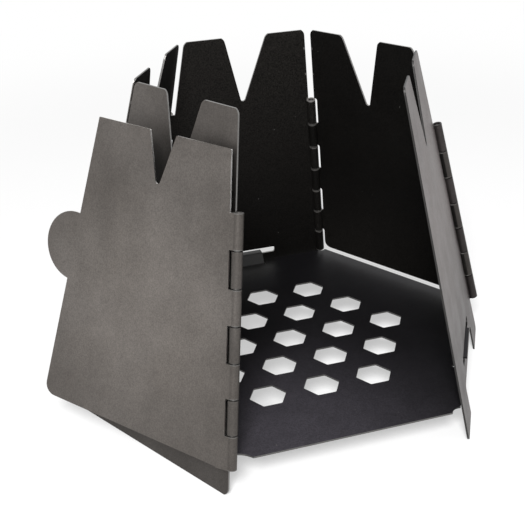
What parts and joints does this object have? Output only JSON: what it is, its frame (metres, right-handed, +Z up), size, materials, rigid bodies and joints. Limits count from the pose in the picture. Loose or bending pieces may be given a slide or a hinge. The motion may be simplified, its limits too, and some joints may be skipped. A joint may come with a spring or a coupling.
{
  "type": "backpacking wood stove",
  "caption": "Folding six-sided firebox of thin sheet metal with notched leaning walls, a perforated floor and a hinged door.",
  "frame": {"origin": "on the ground, in the middle of the back wall's foot, half way through the sheet", "axes": "+Z up, +Y away from the door, +X to the right as seen from the door"},
  "size_m": [0.1391, 0.1138, 0.0952],
  "materials": {
    "titanium_sheet": "satin, bead-blasted",
    "titanium_pin": "satin wire"
  },
  "bodies": {
    "door": {"door_panel": "titanium_sheet", "door_pin": "titanium_pin"},
    "left_front": {"left_front_panel": "titanium_sheet", "left_front_pin": "titanium_pin"},
    "left": {"left_panel": "titanium_sheet"},
    "back": {"back_panel": "titanium_sheet", "left_pin": "titanium_pin", "back_right_pin": "titanium_pin"},
    "back_right": {"back_right_panel": "titanium_sheet"},
    "right": {"right_panel": "titanium_sheet", "right_pin": "titanium_pin"},
    "floor": {"floor_plate": "titanium_sheet"}
  },
  "joints": [
    {"name": "back_right_spread", "type": "hinge", "parent": "back", "child": "back_right", "pos_m": [0.02688, -0.00992, 0.03817], "axis": [-0.128, -0.2218, 0.9667], "range_deg": [0, 58]},
    {"name": "right_swing", "type": "hinge", "parent": "back_right", "child": "right", "pos_m": [0.05627, -0.05648, 0.03883], "axis": [-0.2561, 0, 0.9667], "range_deg": [0, 225]},
    {"name": "left_spread", "type": "hinge", "parent": "back", "child": "left", "pos_m": [-0.02813, -0.00775, 0.03883], "axis": [-0.128, 0.2218, -0.9667], "range_deg": [0, 57]},
    {"name": "left_front_spread", "type": "hinge", "parent": "left", "child": "left_front", "pos_m": [-0.05459, -0.05604, 0.03838], "axis": [-0.2598, 0.0022, -0.9657], "range_deg": [0, 58]},
    {"name": "door_swing", "type": "hinge", "parent": "left_front", "child": "door", "pos_m": [-0.02978, -0.1052, 0.03905], "axis": [0.1355, 0.2217, 0.9657], "range_deg": [-6.3, 227.7]},
    {"name": "floor_tilt", "type": "hinge", "parent": "back", "child": "floor", "pos_m": [0, -0.0025, 0.0123], "axis": [-1, 0, 0], "range_deg": [0, 22.01]}
  ],
  "couplings": [
    {"joint": "left_spread", "follows": "back_right_spread", "ratio": 0.98276},
    {"joint": "floor_tilt", "follows": "back_right_spread", "ratio": 0.37931}
  ]
}
